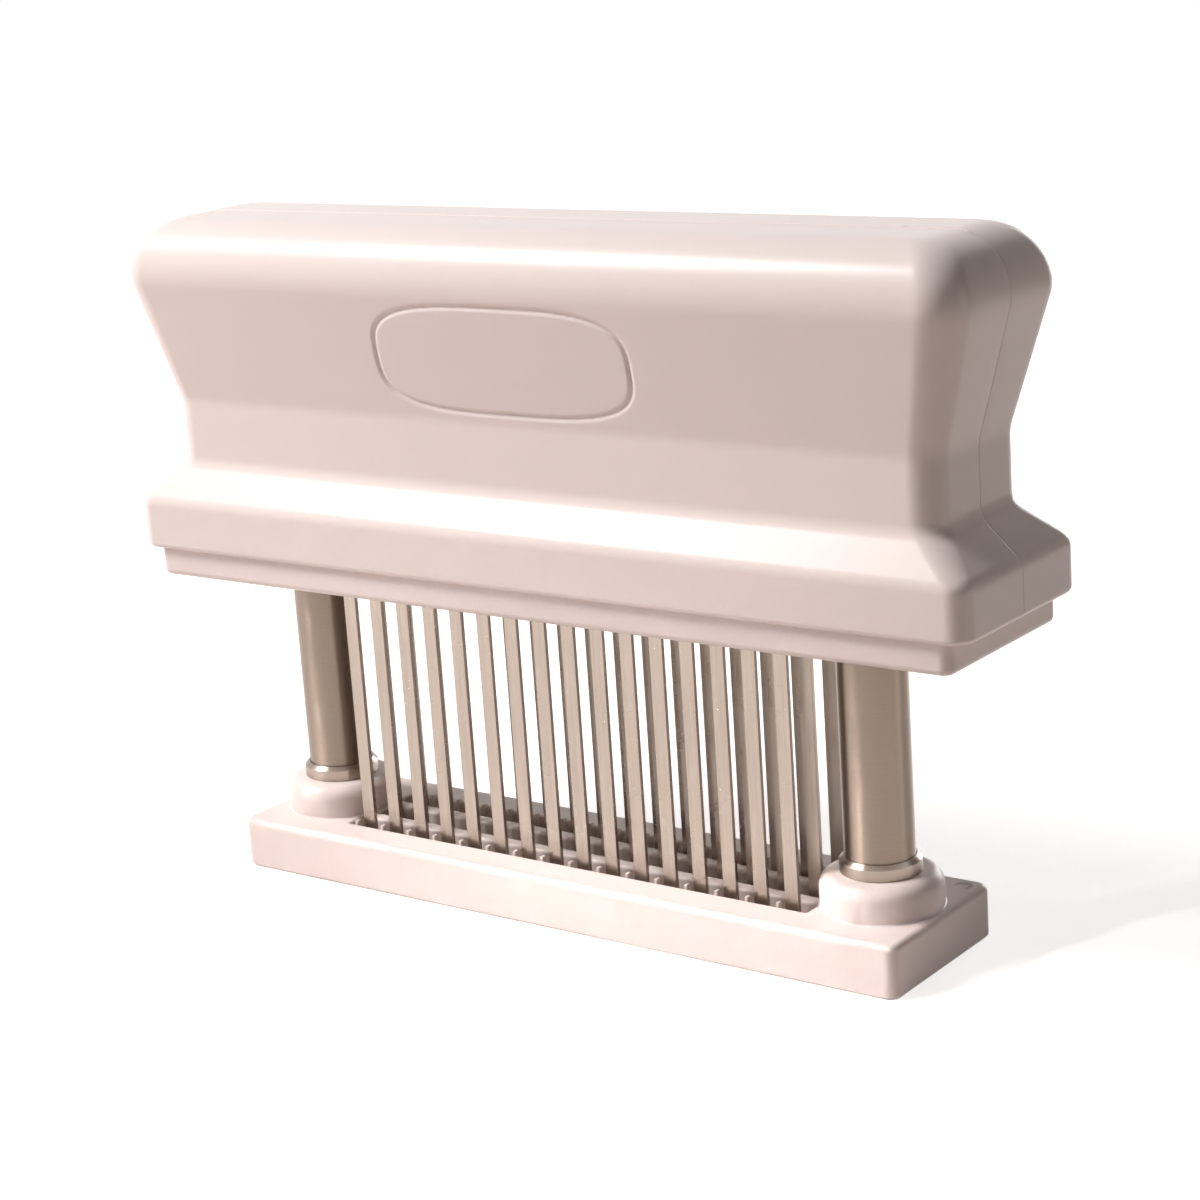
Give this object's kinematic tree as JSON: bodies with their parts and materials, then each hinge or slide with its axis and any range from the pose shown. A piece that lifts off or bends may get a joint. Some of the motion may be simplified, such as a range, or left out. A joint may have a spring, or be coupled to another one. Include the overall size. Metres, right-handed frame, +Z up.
{
  "type": "blade meat tenderizer",
  "caption": "Hand-pushed blade meat tenderizer: a sprung white grip head with rows of thin steel blades slides down two steel columns through a slotted base.",
  "frame": {"origin": "middle of the base plate's underside, on the surface that the tool stands on", "axes": "+X along the tool's length, +Y across it from front to back, +Z up along the columns, the way the head rises"},
  "size_m": [0.146, 0.0318, 0.1023],
  "materials": {
    "white_moulding": "glossy moulded",
    "column_steel": "finely turned",
    "ferrule_steel": "polished",
    "blade_steel": "fine ground",
    "inner_steel": "satin",
    "screw_steel": "polished",
    "spring_wire": "drawn wire",
    "bush_plastic": "satin",
    "carrier_plastic": "satin"
  },
  "bodies": {
    "base": {"base_plate": "white_moulding", "column_left": "column_steel", "column_right": "column_steel", "ferrule_left": "ferrule_steel", "ferrule_right": "ferrule_steel", "foot_plug_left": "inner_steel", "foot_plug_right": "inner_steel", "column_screws": "screw_steel", "retaining_ring_left": "inner_steel", "retaining_ring_right": "inner_steel", "spring_left": "spring_wire", "spring_right": "spring_wire"},
    "head": {"housing": "white_moulding", "retainer_plate": "white_moulding", "guide_bush_left": "bush_plastic", "guide_bush_right": "bush_plastic", "cover_screws": "screw_steel", "blade_carrier": "carrier_plastic", "blade_clamp_plate": "inner_steel", "clamp_screws": "screw_steel", "blades_front_row": "blade_steel", "blades_middle_row": "blade_steel", "blades_rear_row": "blade_steel"}
  },
  "joints": [
    {"name": "head_slide", "type": "slide", "parent": "base", "child": "head", "axis": [0, 0, -1], "range_m": [0, 0.0315], "stiffness_N_per_m": 500, "springref_m": -0.02, "deforming": ["spring_left", "spring_right"]}
  ]
}
